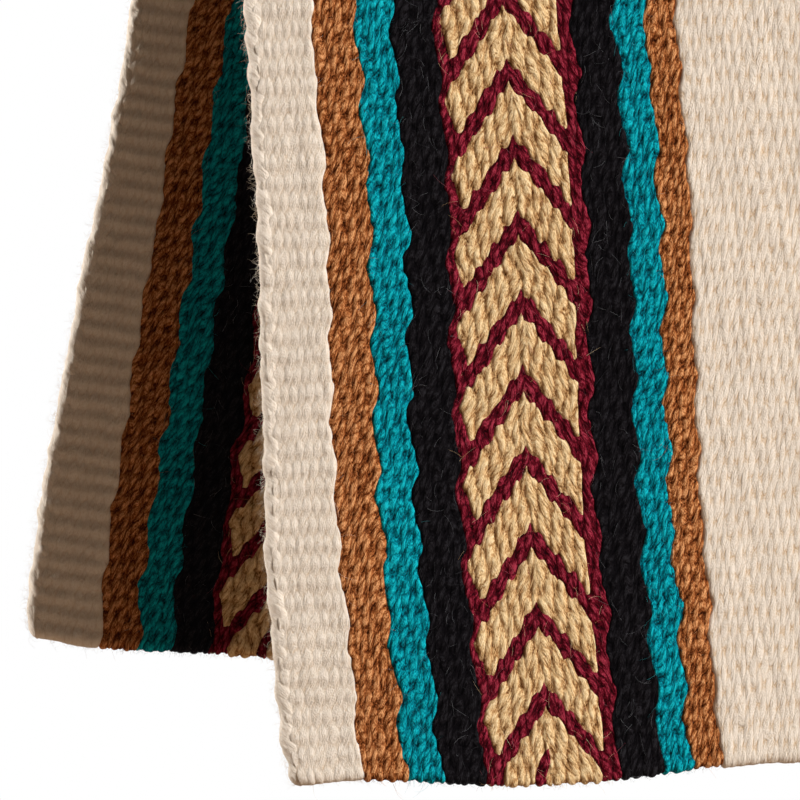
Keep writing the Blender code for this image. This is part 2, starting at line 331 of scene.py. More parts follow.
def each_float(u, v, yarn):
    """For each shaft, the height of its nearest float below the crest."""
    shafts = yarn.shafts
    for shaft in range(shafts):
        y = (v + shaft + yarn.lag + shafts / 2) % shafts - shafts / 2
        x = (u - shaft / shafts - yarn.lean * y + 0.5) % 1 - 0.5
        over = x / np.maximum(yarn.wide - yarn.taper * y * y, LEAST_WIDE)
        side = yarn.side * (np.sqrt(np.maximum(0, 1 - over * over)) - 1)
        yield side + yarn.end * (np.cos(math.pi / 2 * np.minimum(np.abs(y) / yarn.reach, 1)) - 1)


def strokes(u, v, yarn, seed):
    """The height of the weave below its crest."""
    best = np.maximum.reduce(list(each_float(u, v, yarn)))
    size, rate_u, rate_v = STROKE_LIFT
    lift = size * smooth_noise(u * rate_u, v * rate_v, seed + 5)
    return best + lift - yarn.rib * np.sin(math.pi * v) ** 2


def edge_fall(inside, deepest=1.0):
    """How far yarn drops as it rounds off near its edge. inside is the distance to that edge."""
    return -np.minimum(EDGE_CURVE * np.maximum(0, EDGE_ROUNDING - inside) ** 2, deepest)


def lumps(s, t, seed):
    """The slow unevenness of hand-beaten cloth."""
    return LUMP_HEIGHT * sum(
        smooth_noise(s / cell_s, t / cell_t, seed + number)
        for number, (cell_s, cell_t) in enumerate(LUMP_CELLS))


def edge_wander(t, seed):
    """How far the edge between two bands strays from a straight line along it."""
    return sum(
        size * smooth_noise(t / cell, t * 0, seed + number)
        for number, (size, cell) in enumerate(EDGE_WANDERS))


def edge_steps(v, share):
    """How far the edge of a band swings out, from its picks. share is how strongly it does."""
    late = v - EDGE_STEP_CREST - INNER_FACE_LAG * (1 - np.cos(FULL_TURN * v / RIBS_ROUND)) / 2
    notch = np.cos(math.pi * (late + EDGE_STEP_NOTCH_LEAD))
    return share * EDGE_STEP * (np.cos(math.pi / 2 * late) + EDGE_STEP_NOTCH * notch)


def band_edge(place, seed, share, t, v):
    """The line between two bands."""
    swing = 1 + EDGE_STEP_UNEVENNESS * noise_round(v * 0, v, EDGE_STEP_CELL_RIBS, seed)
    return place + edge_steps(v, share) * swing + edge_wander(t, seed)


def closed_band(name, points, weave, keep=None):
    """A mesh from rows round the cloth, closed along both of its edges, or its kept faces alone."""
    rows, columns = points.shape[:2]
    index = np.arange(rows * columns).reshape(rows, columns)
    below = np.roll(index, -1, axis=0)
    faces = np.stack([index[:, :-1], index[:, 1:], below[:, 1:], below[:, :-1]], axis=-1)
    if keep is None:
        faces = faces.reshape(-1, 4)
        k = np.arange(rows // 2)
        for column, order in ((0, 1), (columns - 1, -1)):
            wall = np.stack([k, k + 1, (rows - k - 1) % rows, (rows - k) % rows], axis=-1)
            wall = index[wall, column][:, ::order]
            faces = np.concatenate([faces, wall])
    else:
        faces = faces[keep]
    return mesh_object(name, points.reshape(-1, 3), faces, weave)


def mesh_object(name, points, faces, weave=None):
    """An object from points and four-cornered faces. A face with two like corners is a triangle."""
    corners = np.ones(faces.shape, bool)
    corners[:, 3] = (faces[:, 2] != faces[:, 3]) & (faces[:, 0] != faces[:, 3])
    counts = corners.sum(axis=1)
    flat = faces[corners]
    used, flat = np.unique(flat, return_inverse=True)
    data = bpy.data.meshes.new(name)
    data.vertices.add(len(used))
    data.vertices.foreach_set("co", points[used].astype(np.float32).ravel())
    data.loops.add(len(flat))
    data.loops.foreach_set("vertex_index", flat.astype(np.int32).ravel())
    data.polygons.add(len(faces))
    data.polygons.foreach_set("loop_start", (np.cumsum(counts) - counts).astype(np.int32))
    data.polygons.foreach_set("use_smooth", np.ones(len(faces), bool))
    data.update(calc_edges=True)
    if weave is not None:
        coordinates = weave.reshape(-1, 3)[faces]
        wraps = coordinates[:, :, 1].max(axis=1) - coordinates[:, :, 1].min(axis=1) > RIBS
        low = wraps[:, None] & (coordinates[:, :, 1] < RIBS)
        coordinates[:, :, 1] += np.where(low, RIBS_ROUND, 0)
        layer = data.attributes.new("weave", "FLOAT_VECTOR", "CORNER")
        layer.data.foreach_set("vector", coordinates[corners].astype(np.float32).ravel())
    return place_object(name, data)


def place_object(name, data):
    """An object in the scene that shows the data."""
    thing = bpy.data.objects.new(name, data)
    bpy.context.scene.collection.objects.link(thing)
    return thing


# How finely a band is meshed: the step between its columns, and its rows
FINE = 0.00044, rows_round(near=8, far=4)
COARSE = 0.0006, rows_round(near=4, far=4)


def band_grid(low_edge, high_edge, fineness):
    """s, t, v and the distances inside both edges for the grid of one band."""
    step, rows = fineness
    v = rows[:, None]
    t = round_the_cloth(v)[0]
    low, high = low_edge(t, v), high_edge(t, v)
    columns = math.ceil(float(np.mean(high - low) + 2 * TUCK) / step) + 1
    share = np.linspace(0, 1, columns)[None, :]
    s = low - TUCK + share * (high - low + 2 * TUCK)
    return s, t, v, s - low, high - s


def surface(s, v, depth):
    """Points of the hung cloth, depth metres above its smooth surface. None goes past its middle."""
    middle, outward_t, outward_w, radius = round_the_cloth(v)
    height = np.maximum(radius + depth, TUCKED_HEIGHT)
    return drape(s, middle + outward_t * height, outward_w * height)


def plain_band(name, low_edge, high_edge, yarn, fineness, seed, corded=0):
    """One band of weft of one colour. corded is the side on which a cord lies over its edge."""
    s, t, v, from_low, from_high = band_grid(low_edge, high_edge, fineness)
    from_low = from_low + CORD_LAP * (corded < 0)
    from_high = from_high + CORD_LAP * (corded > 0)
    u, ribs = uneven(s, v, yarn, seed)
    depth = strokes(u, ribs, yarn, seed) + edge_fall(from_low) + edge_fall(from_high)
    return closed_band(
        name, surface(s, v, depth + lumps(s, t, seed)), weave_places(u, ribs, seed % MARKS))


# Each band has a mark, from which the material draws its own random numbers
MARKS = 50


def weave_places(u, v, mark):
    """What the material needs to know at each point."""
    return np.stack(np.broadcast_arrays(u, v, u * 0 + mark), axis=-1)


class Chevrons:
    """The lines between gold and maroon at one end."""

    def __init__(self, centre, side, seed):
        self.centre = centre
        self.outward = side
        self.seed = seed
        self.period = CHEVRON_WARPS * WARP_PITCH
        self.half = CHEVRON_BAND_WIDTH / 2 - MAROON_BORDER_WIDTH
        self.slope = self.period / self.half

    def below_last_apex(self, s, t):
        """How far down the cloth a point is from the top edge of the last full maroon line."""
        x = (s - self.centre) * -self.outward
        far = np.abs(x)
        step = np.sin(FULL_TURN * (far / STEP_WIDTH - STEP_PHASE))
        stepped = far - STEP_SHARE * STEP_WIDTH / FULL_TURN * step
        above = HALF_SPAN - np.abs(t)
        for seed, (size, cell_s, cell_t) in zip((self.seed + 11, self.seed + 13), APEX_WANDERS):
            above = above + size * smooth_noise(s / cell_s, t / cell_t, seed)
        return LAST_APEX_ABOVE_HEM - above - self.slope * stepped

    def inside(self, s, t):
        """The distance inside the maroon, which is negative in the gold, and that to its borders."""
        x = (s - self.centre) * -self.outward
        below = self.below_last_apex(s, t)
        into = below % self.period
        line = np.minimum(into, MAROON_LINE_HEIGHT - into)
        halfway = (self.period + MAROON_LINE_HEIGHT) / 2
        line = np.where(into > halfway, into - self.period, line)
        above = HALF_SPAN - np.abs(t)
        slash_half = np.minimum(SLASH_HALF_WIDTH, (SLASH_TOP - above) * SLASH_TAPER)
        slash = slash_half - np.abs(x + (SLASH_TOP - above) * SLASH_LEAN)
        last = np.maximum(MAROON_LINE_HEIGHT - below, slash * SLASH_STEEPNESS)
        line = np.where(below > halfway, last, line)
        line = line / math.hypot(1, self.slope)
        cut = np.clip(1 - (into - MAROON_LINE_HEIGHT) / (self.period - MAROON_LINE_HEIGHT), 0, 1)
        outer_half = self.half - OUTER_ARM_INSET + OUTER_ARM_SPREAD * cut
        inner_half = self.half - INNER_ARM_INSET
        size, cell = MAROON_BORDER_WANDER
        wander = size * smooth_noise(t / cell, t * 0, self.seed + 12)
        border = np.where(x < 0, -x - outer_half, x - inner_half) + wander
        return np.maximum(line, border), border


def gold_band(name, chevrons, seed, fineness):
    """The gold weft: one strip between the maroon borders, with a groove under each maroon line."""
    half = chevrons.half + OUTER_ARM_SPREAD
    low, high = chevrons.centre - half, chevrons.centre + half
    s, t, v, _, _ = band_grid(lambda t, v: low + 0 * t, lambda t, v: high + 0 * t, fineness)
    u, ribs = uneven(s, v, GOLD, seed, chevrons.centre)
    inside, border = chevrons.inside(s, t)
    depth = strokes(u, ribs, GOLD, seed) + edge_fall(-inside, GROOVE_DEPTH) + edge_fall(-border)
    mark = seed % MARKS + (s > chevrons.centre)
    return closed_band(name, surface(s, v, depth + lumps(s, t, seed)), weave_places(u, ribs, mark))


def maroon_band(name, chevrons, low_edge, high_edge, seed, fineness):
    """The maroon weft: two borders and the lines that join them, open where the gold shows."""
    s, t, v, from_low, from_high = band_grid(low_edge, high_edge, fineness)
    u, ribs = uneven(s, v, MAROON, seed, chevrons.centre)
    inside, _ = chevrons.inside(s, t)
    depth = strokes(u, ribs, MAROON, seed) + edge_fall(inside, GROOVE_DEPTH) - MAROON_SINK
    depth += edge_fall(from_low) + edge_fall(from_high)
    reach = inside > -TUCK
    below = np.roll(reach, -1, axis=0)
    keep = reach[:, :-1] | reach[:, 1:] | below[:, 1:] | below[:, :-1]
    mark = seed % MARKS + (s > chevrons.centre)
    return closed_band(name, surface(s, v, depth), weave_places(u, ribs, mark), keep)


# The field: its finely meshed strip, and how the ribs wander in the rest
FIELD_SEED = 7
FINE_FIELD_WIDTH = 0.046
FINE_FIELD_FADE = 0.003
FIELD_COLUMN = 0.004
LAST_FIELD_COLUMNS = 8
FIELD_RIB_WANDER = (0.3, 0.03, 6)


def cream_field(low_edge, high_edge, seed):
    """The plain field: fine columns where the photo shows it, and beyond it the ribs alone."""
    step, rows = FINE
    v = rows[:, None]
    t = round_the_cloth(v)[0]
    low, high = low_edge(t, v), high_edge(t, v)
    fine = np.arange(-TUCK, FINE_FIELD_WIDTH, step)
    coarse = np.arange(FINE_FIELD_WIDTH, FIELD_WIDTH - 2 * EDGE_ROUNDING, FIELD_COLUMN)
    last = np.linspace(FIELD_WIDTH - 2 * EDGE_ROUNDING, FIELD_WIDTH + TUCK, LAST_FIELD_COLUMNS)
    place = np.concatenate([fine, coarse, last])[None, :]
    share = place / FIELD_WIDTH
    s = low * (1 - share) + high * share + place - share * FIELD_WIDTH
    weight = np.clip((FINE_FIELD_WIDTH - place) / FINE_FIELD_FADE, 0, 1)
    u, ribs = uneven(s, v, CREAM_TWILL, seed)
    u = s / CREAM_TWILL.repeat + (u - s / CREAM_TWILL.repeat) * weight
    size, cell, cell_ribs = FIELD_RIB_WANDER
    wander = (1 - weight) * size * noise_round(s / cell, v, cell_ribs, seed + 4)
    ribs = v + (ribs - v) * weight + wander
    plain = -CREAM_TWILL.rib * (1 + np.sin(math.pi * v) ** 2)
    depth = weight * strokes(u, ribs, CREAM_TWILL, seed) + (1 - weight) * plain
    depth = depth + edge_fall(s - low) + edge_fall(high - s) + lumps(s, t, seed)
    return closed_band("cream_field_weft", surface(s, v, depth), weave_places(u, ribs, seed))


# The end cord: two strands that twist round each other, along the warp ends. Its roughness is in
# lumps, and in yarn that leans as it goes round. Each has a height, then the cells of its noise
CORD_LAY = 0.024
CORD_PHASE = 0.6
CORD_LOOSENESS = (0.10, 0.017)
STRAND_RADIUS = 0.0026
CORD_SIDES = 32
CORD_STEP = 0.0006
CORD_END_TAPER = 0.004
CORD_END_SHARE = 0.0004
# How tightly the painted shade in the creases between the strands gathers into them
CORD_SHADE_POWER = 9
CORD_LUMPS = (0.00030, 0.0037, 0.9)
CORD_YARN = (0.00026, 0.0013, 0.0042)
CORD_YARN_LEAN = 0.7
CORD_WANDER = (0.0006, 0.0055)
CORD_SEED = 41


def end_cord(name, side):
    """The twisted cord that binds the warp ends, from hem to hem."""
    radius = END_CORD_DIAMETER / 2
    t = np.linspace(-HALF_SPAN, HALF_SPAN, round(HEM_TO_HEM / CORD_STEP))[:, None]
    round_it = np.linspace(0, FULL_TURN, CORD_SIDES, endpoint=False)[None, :]
    angle = round_it + (math.pi if side > 0 else 0)
    offset = radius - STRAND_RADIUS
    size, cell = CORD_LOOSENESS
    loose = size * smooth_noise(t / cell, t * 0, CORD_SEED)
    outline = np.zeros(np.broadcast(t, angle).shape)
    for strand in (0, 1):
        turn = side * FULL_TURN * (t / CORD_LAY + loose)
        swing = angle - turn - strand * math.pi - CORD_PHASE
        reach = np.sqrt(STRAND_RADIUS ** 2 - (offset * np.sin(swing)) ** 2)
        outline = np.maximum(outline, offset * np.cos(swing) + reach)
    crease = (outline.max() - outline) / (outline.max() - outline.min())
    end = np.clip((HALF_SPAN - np.abs(t)) / CORD_END_TAPER, 0, 1)
    size, cell, cell_round = CORD_LUMPS
    outline += size * smooth_noise(t / cell, round_it / cell_round, CORD_SEED + 1)
    size, cell_across, cell = CORD_YARN
    leaning = round_it * radius + side * t * CORD_YARN_LEAN
    outline += size * smooth_noise(leaning / cell_across, t / cell, CORD_SEED + 2)
    outline = outline * np.sqrt(np.maximum(1 - (1 - end) ** 2, CORD_END_SHARE))
    size, cell = CORD_WANDER
    centre = side * (HALF_LENGTH - radius + size * smooth_noise(t / cell, t * 0, CORD_SEED + 3))
    points = drape(centre + outline * np.cos(angle), t, outline * np.sin(angle))
    rows, sides = outline.shape
    index = np.arange(rows * sides).reshape(rows, sides)
    beside = np.roll(index, -1, axis=1)
    faces = np.stack([index[:-1], index[1:], beside[1:], beside[:-1]], axis=-1).reshape(-1, 4)
    caps = []
    for ring, order in ((index[0], 1), (index[-1], -1)):
        for k in range(1, sides // 2):
            caps.append([ring[k - 1], ring[k], ring[sides - k - 1], ring[sides - k]][::order])
    # Painted shade in the creases between the two strands, which the cord's material darkens
    crease_shade = crease ** CORD_SHADE_POWER
    weave = weave_places(leaning * MILLIMETRES, t * MILLIMETRES, crease_shade * end)
    return mesh_object(name, points.reshape(-1, 3), np.concatenate([faces, np.array(caps)]), weave)


# Stray fibres that stand out of the wool
FIBRE_RADIUS = 0.000035
FIBRE_TIP_LOSS = 0.6
FIBRE_POINTS = 6
FIBRE_RISE = 1.4
FIBRE_CORNERS = (0, 2.094, 4.189)
SLANT = (0.31, -0.72, 0.62)
LEAST_LENGTH = 1e-12
SURFACE_FIBRE_DEPTH = 0.0006
EDGE_FIBRE_DEPTH = 0.0010
EDGE_FIBRE_HEIGHT = 0.0022
HEM_FIBRE_HEIGHT = 0.0025

# Each kind of fibre: the spread of its heading, its lengths, its lifts and its curl
SURFACE_FIBRES = 0.7, (0.0020, 0.0070), (0.0004, 0.0016), 0.45
EDGE_FIBRES = 0.8, (0.0012, 0.0040), (0, 0.0010), 1.5
HEM_FIBRES = 0.6, (0.0012, 0.0026), (0, 0.0006), 1.0


def fibre_paths(random, kind, s, t, w, heading):
    """The middle lines of fibres that start in the flat cloth and rise from its surface."""
    spread, lengths, lifts, curl = kind
    count = len(s)
    heading = heading + random.normal(0, spread, count)
    length = random.uniform(*lengths, count)
    lift = random.uniform(*lifts, count)
    curl = random.normal(0, curl, count)
    q = np.linspace(0, 1, FIBRE_POINTS)[:, None]
    turn = heading + curl * q
    along_s = s + length * q * np.cos(turn)
    along_t = t + length * q * np.sin(turn)
    height = w + np.sign(w) * lift * q ** FIBRE_RISE
    return drape(along_s, along_t, height).swapaxes(0, 1)


def fibre_mesh(name, paths):
    """Thin three-sided hairs along the paths, pointed at their ends."""
    count, steps = paths.shape[:2]
    forward = np.gradient(paths, axis=1)
    forward /= np.linalg.norm(forward, axis=-1, keepdims=True) + LEAST_LENGTH
    first = np.cross(forward, np.array(SLANT))
    first /= np.linalg.norm(first, axis=-1, keepdims=True) + LEAST_LENGTH
    second = np.cross(forward, first)
    radius = FIBRE_RADIUS * (1 - FIBRE_TIP_LOSS * np.linspace(0, 1, steps))[None, :, None]
    rings = [paths + radius * (first * math.cos(a) + second * math.sin(a)) for a in FIBRE_CORNERS]
    points = np.stack(rings, axis=2)
    index = np.arange(points[..., 0].size).reshape(count, steps, 3)
    beside = np.roll(index, -1, axis=2)
    faces = np.stack([index[:, :-1], beside[:, :-1], beside[:, 1:], index[:, 1:]], axis=-1)
    return mesh_object(name, points.reshape(-1, 3), faces.reshape(-1, 4))


def surface_fibres(random, low, high, count):
    """Fibres scattered over both faces of a band, mostly along its strokes."""
    s = random.uniform(low, high, count)
    t = random.uniform(-HALF_SPAN, HALF_SPAN, count)
    w = random.choice([-1, 1], count) * (HALF_THICKNESS - SURFACE_FIBRE_DEPTH)
    heading = random.choice([-1, 1], count) * math.pi / 2
    return fibre_paths(random, SURFACE_FIBRES, s, t, w, heading)


def edge_fibres(random, side, count):
    """Fibres that stand out from the cord along one end."""
    s = np.full(count, side * (HALF_LENGTH - EDGE_FIBRE_DEPTH))
    t = random.uniform(-HALF_SPAN, HALF_SPAN, count)
    w = random.uniform(-EDGE_FIBRE_HEIGHT, EDGE_FIBRE_HEIGHT, count)
    return fibre_paths(random, EDGE_FIBRES, s, t, w, math.pi if side < 0 else 0)


def hem_fibres(random, low, high, count):
    """Fibres that stand out from the hems of a band."""
    s = random.uniform(low, high, count)
    hem = random.choice([-1, 1], count)
    w = random.uniform(-HEM_FIBRE_HEIGHT, HEM_FIBRE_HEIGHT, count)
    t = hem * (HALF_SPAN - EDGE_FIBRE_DEPTH)
    return fibre_paths(random, HEM_FIBRES, s, t, w, hem * math.pi / 2)


def add_node(tree, kind, inputs, **settings):
    """A new node. inputs gives the number, colour, socket or Wire for each input that it names."""
    node = tree.nodes.new("ShaderNode" + kind)
    for name, value in settings.items():
        setattr(node, name, value)
    for slot, value in inputs.items():
        value = getattr(value, "socket", value)
        if isinstance(value, bpy.types.NodeSocket):
            tree.links.new(value, node.inputs[slot])
        else:
            node.inputs[slot].default_value = value
    return node


class Wire:
    """A socket in a node tree that takes part in formulas: it can be added, multiplied and so on."""

    def __init__(self, tree, socket):
        self.tree = tree
        self.socket = socket

    def maths(self, operation, *others):
        node = add_node(self.tree, "Math", dict(enumerate((self, *others))), operation=operation)
        return Wire(self.tree, node.outputs[0])

    __add__ = partialmethod(maths, "ADD")
    __sub__ = partialmethod(maths, "SUBTRACT")
    __mul__ = partialmethod(maths, "MULTIPLY")

    def ramp(self, low, high):
        """0 below low and 1 above high, with a smooth rise between."""
        inputs = {"Value": self, "From Min": low, "From Max": high}
        node = add_node(self.tree, "MapRange", inputs, interpolation_type="SMOOTHSTEP")
        return Wire(self.tree, node.outputs["Result"])


def linear(colour):
    """A colour from 0 to 255 as the eye sees it, in the shares of light that Blender takes."""
    shares = [c / 255 for c in colour]
    return [c / 12.92 if c <= 0.04045 else ((c + 0.055) / 1.055) ** 2.4 for c in shares] + [1]


# The two inputs and the output of a Mix node for each kind
MIX_SOCKETS = {"VECTOR": (4, 5, 1), "RGBA": (6, 7, 2)}


def mix(tree, share, first, second, kind="RGBA"):
    """A blend of two colours or vectors. Each is a socket or a colour."""
    a, b, output = MIX_SOCKETS[kind]
    node = add_node(tree, "Mix", {0: share, a: first, b: second}, data_type=kind)
    return node.outputs[output]


def join(tree, *wires):
    """A vector from up to three wires."""
    return add_node(tree, "CombineXYZ", dict(enumerate(wires))).outputs[0]


def parts(tree, vector):
    """The three wires of a vector."""
    node = add_node(tree, "SeparateXYZ", {"Vector": vector})
    return [Wire(tree, output) for output in node.outputs]


def noise(tree, x, y, z, scales):
    """Noise over two coordinates, each stretched by its own scale. z picks another pattern."""
    place = join(tree, x * scales[0], y * scales[1], z * PATTERN_STEP)
    node = add_node(tree, "TexNoise", {"Vector": place, "Scale": 1.0, "Detail": NOISE_DETAIL})
    return Wire(tree, node.outputs["Fac"])


class Look:
    """Four colours of one yarn, from the painted shade in its gaps to its lit fibres, and how strongly
    each effect shows.

    fibre and fleck are long and short specks, gap how dark the painted shade between floats and
    between ribs is, heather the change from one float to the next, ply the twist of the yarn, and
    relief the bump of weave and specks. sparse makes that painted shade show in fewer gaps.
    """

    def __init__(self, *colours, fibre=1.5, fleck=1.5, gap=0.38, heather=0.16, ply=0.40,
                 relief=1.0, sparse=0.0):
        self.colours = [linear(colour) for colour in colours]
        self.fibre, self.fleck, self.gap, self.heather = fibre, fleck, gap, heather
        self.ply, self.relief, self.sparse = ply, relief, sparse


CREAM_LOOK = dict(fibre=0.9, fleck=0.8, gap=0.36, heather=0.07, ply=0.08, relief=0.48, sparse=0.26)
LOOKS = {
    "cream_wool": Look((177, 137, 101), (199, 175, 148), (210, 196, 179), (219, 208, 195), **CREAM_LOOK),
    "copper_wool": Look((42, 14, 4), (108, 52, 20), (164, 98, 52), (220, 158, 106)),
    "teal_wool": Look((0, 30, 38), (0, 86, 100), (0, 132, 146), (20, 182, 194)),
    "black_wool": Look((2, 1, 2), (6, 4, 6), (13, 10, 12), (34, 32, 35)),
    "maroon_wool": Look((20, 0, 3), (60, 5, 14), (98, 12, 28), (156, 50, 68)),
    "gold_wool": Look((96, 56, 22), (176, 130, 82), (215, 179, 129), (238, 211, 166), ply=0.26),
    "edge_cord": Look((177, 137, 101), (199, 175, 148), (212, 198, 181), (222, 211, 198), **CREAM_LOOK),
}
LOOK_STOPS = (0.0, 0.35, 0.65, 1.0)
LOOK_MIDDLE = 0.74

# The twist of the yarn, in millimetres
PLY_PITCH = 4.2
PLY_SLOPE = 1.4
PLY_MIDDLE = 0.75

# Specks: their lean, and their scales across and along the yarn
NOISE_DETAIL = 3.0
PATTERN_STEP = 17.0
FLECK_PATTERN = 3.0
FIBRE_LEAN = 0.25
FIBRE_SCALES = (2.4, 0.7)
FLECK_LEAN = 0.35
FLECK_SCALES = (3.6, 1.5)

# The painted shade in the gaps between floats: how much of it lies between ribs, and how far below the
# crest it starts
GROOVE_SHADE_SHARE = 0.3
GAP_SHADE_START = 0.05
GAP_SHADE_FROM = 0.10
GAP_SHADE_TO = 0.95

# Bump and gloss, and the pattern of dark and light along the stray fibres
WEAVE_BUMP = 0.4
SPECK_BUMP = 1.1
PLY_BUMP = 2.0
BUMP_DEPTH = 0.0006
WOOL_ROUGHNESS = 0.9
WOOL_SHINE = 0.05
FIBRE_ROUGHNESS = 0.7
FIBRE_SHINE = 0.2
FIBRE_PATTERN_SCALE = 160
FIBRE_PATTERN_FROM = 0.35
FIBRE_PATTERN_TO = 0.65


def top_float(tree, u, v, yarn):
    """The float that shows at each point: its own coordinates, its height and its number."""
    shafts = yarn.shafts
    shape = number = None
    for shaft in range(shafts):
        y = (v + (shaft + yarn.lag)).maths("WRAP", shafts / 2, -shafts / 2)
        place = u - shaft / shafts - y * yarn.lean
        x = place.maths("WRAP", 0.5, -0.5)
        over = x.maths("DIVIDE", (y * y * -yarn.taper + yarn.wide).maths("MAXIMUM", LEAST_WIDE))
        side = (over * over * -1 + 1).maths("MAXIMUM", 0.0).maths("SQRT")
        dive = (y.maths("ABSOLUTE") * (1 / yarn.reach)).maths("MINIMUM", 1.0)
        height = side + (dive * (math.pi / 2)).maths("COSINE") * (yarn.end / yarn.side)
        column = ((place - x) * shafts + float(shaft)).maths("ROUND")
        rib = (v - y + yarn.lag).maths("ROUND")
        this = join(tree, x, y, height), join(tree, column, rib)
        if shape is None:
            shape, number, best = *this, height
            continue
        higher = height.maths("GREATER_THAN", best)
        best = height.maths("MAXIMUM", best)
        shape = mix(tree, higher, shape, this[0], "VECTOR")
        number = mix(tree, higher, number, this[1], "VECTOR")
    return *parts(tree, shape), *parts(tree, number)[:2]


def new_material(name, roughness, shine):
    """A material with its node tree and its shader."""
    material = bpy.data.materials.new(name)
    material.use_nodes = True
    shader = material.node_tree.nodes["Principled BSDF"]
    shader.inputs["Roughness"].default_value = roughness
    shader.inputs["Specular IOR Level"].default_value = shine
    return material, material.node_tree, shader


def wool(name, yarn=None):
    """Wool: strokes of twisted yarn with painted shade in their gaps and lit fibres, or with no yarn a
    plain strand with painted shade in its creases.
    """
    look = LOOKS[name]
    material, tree, shader = new_material(name, WOOL_ROUGHNESS, WOOL_SHINE)
    source = add_node(tree, "Attribute", {}, attribute_name="weave")
    u, v, mark = parts(tree, source.outputs["Vector"])
    if yarn:
        x, y, height, column, rib = top_float(tree, u, v, yarn)
        across, along = x * (yarn.repeat * MILLIMETRES), y * (WARP_PITCH * MILLIMETRES)
        # Painted shade is deeper midway between two ribs, where groove is 1
        groove = (v * FULL_TURN).maths("COSINE") * -0.5 + 0.5
        below = height * -1 + groove * GROOVE_SHADE_SHARE + (1 + yarn.end / yarn.side)
    else:
        across, along, height = u, v, v * 0.0
        # On the cord, the third number is the painted shade of the creases between its strands
        column, rib, below = v * 0.0, v * 0.0, mark
    float_number = join(tree, column, rib, mark.maths("ROUND"))
    white = add_node(tree, "TexWhiteNoise", {"Vector": float_number})
    random = Wire(tree, white.outputs["Value"])

    twisted = across * PLY_SLOPE - along
    ply = (twisted * (math.pi / PLY_PITCH) + random * math.pi).maths("SINE").maths("ABSOLUTE")
    ply = ply.maths("SQRT") - PLY_MIDDLE
    fibres = noise(tree, across - along * FIBRE_LEAN, along, random, FIBRE_SCALES) - 0.5
    flecks = noise(tree, across + along * FLECK_LEAN, along, random + FLECK_PATTERN, FLECK_SCALES) - 0.5
    # Painted shade: the colour darkens where the weave lies low, standing in for shadow in the gaps
    gap = (below + flecks - (GAP_SHADE_START + look.sparse)).ramp(GAP_SHADE_FROM, GAP_SHADE_TO)
    value = fibres * look.fibre + flecks * look.fleck + (random - 0.5) * look.heather + ply * look.ply
    value = value + LOOK_MIDDLE - gap * look.gap
    ramp = add_node(tree, "ValToRGB", {"Fac": value})
    stops = ramp.color_ramp.elements
    for number, (place, colour) in enumerate(zip(LOOK_STOPS, look.colours)):
        stop = stops[number] if number < 2 else stops.new(place)
        stop.position, stop.color = place, colour
    tree.links.new(ramp.outputs["Color"], shader.inputs["Base Color"])

    relief = (height * WEAVE_BUMP + fibres * SPECK_BUMP + flecks * SPECK_BUMP) * look.relief
    relief = relief + ply * (look.ply * PLY_BUMP)
    bump = add_node(tree, "Bump", {"Strength": 1.0, "Distance": BUMP_DEPTH, "Height": relief})
    tree.links.new(bump.outputs["Normal"], shader.inputs["Normal"])
    return material


def fibre_wool(name, dark, light):
    """The look of stray fibres, some darker and some lighter."""
    material, tree, shader = new_material(name, FIBRE_ROUGHNESS, FIBRE_SHINE)
    place = add_node(tree, "TexCoord", {}).outputs["Object"]
    pattern = add_node(tree, "TexNoise", {"Vector": place, "Scale": FIBRE_PATTERN_SCALE})
    share = Wire(tree, pattern.outputs["Fac"]).ramp(FIBRE_PATTERN_FROM, FIBRE_PATTERN_TO)
    tree.links.new(mix(tree, share, linear(dark), linear(light)), shader.inputs["Base Color"])
    return material


def finish_piece(piece, material, nodes):
    """Dress a piece, hang it under the root, and hide the imported parts that it stands for."""
    piece.data.materials.append(material)
    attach(piece, "root")
    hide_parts(*nodes)


# The map's lanes: how many there may be, and the empty share at each side of one
LANE_COUNTS = (1, 2, 3, 4, 6, 8, 9, 12, 16, 18, 24)
LANE_MARGIN = 0.03


def unfold(piece, width):
    """A map with the strip of cloth cut into lengths that lie side by side."""
    data = piece.data
    lanes = min(LANE_COUNTS, key=lambda n: abs(n * n - 2 * HEM_TO_HEM / width))
    corners = np.empty(len(data.loops) * 3, np.float32)
    data.attributes["weave"].data.foreach_get("vector", corners)
    corners = corners.reshape(-1, 3)
    starts, totals = np.empty((2, len(data.polygons)), np.int32)
    data.polygons.foreach_get("loop_start", starts)
    data.polygons.foreach_get("loop_total", totals)
    u = corners[:, 0]
    u = (u - u.min()) / (u.max() - u.min())
    v = corners[:, 1] / RIBS_ROUND * lanes
    middle = np.add.reduceat(v, starts) / totals
    lane = np.repeat(np.floor(middle), totals)
    across = (lane % lanes + LANE_MARGIN + (1 - 2 * LANE_MARGIN) * u) / lanes
    layer = data.uv_layers.new(name="OFBake")
    layer.uv.foreach_set("vector", np.stack([across, v - lane], axis=-1).astype(np.float32).ravel())


# How strongly the picks step at each edge between bands, from the end cord inwards
EDGE_SHARES = (0, 0.65, 1, 1, 1, 1, 1, 1, 0.65)

# Seeds of the bands and of the edges between them
FIRST_SEED = 120
SEED_STEP = 100
RIGHT_SEED = 50
EDGE_SEED = 9


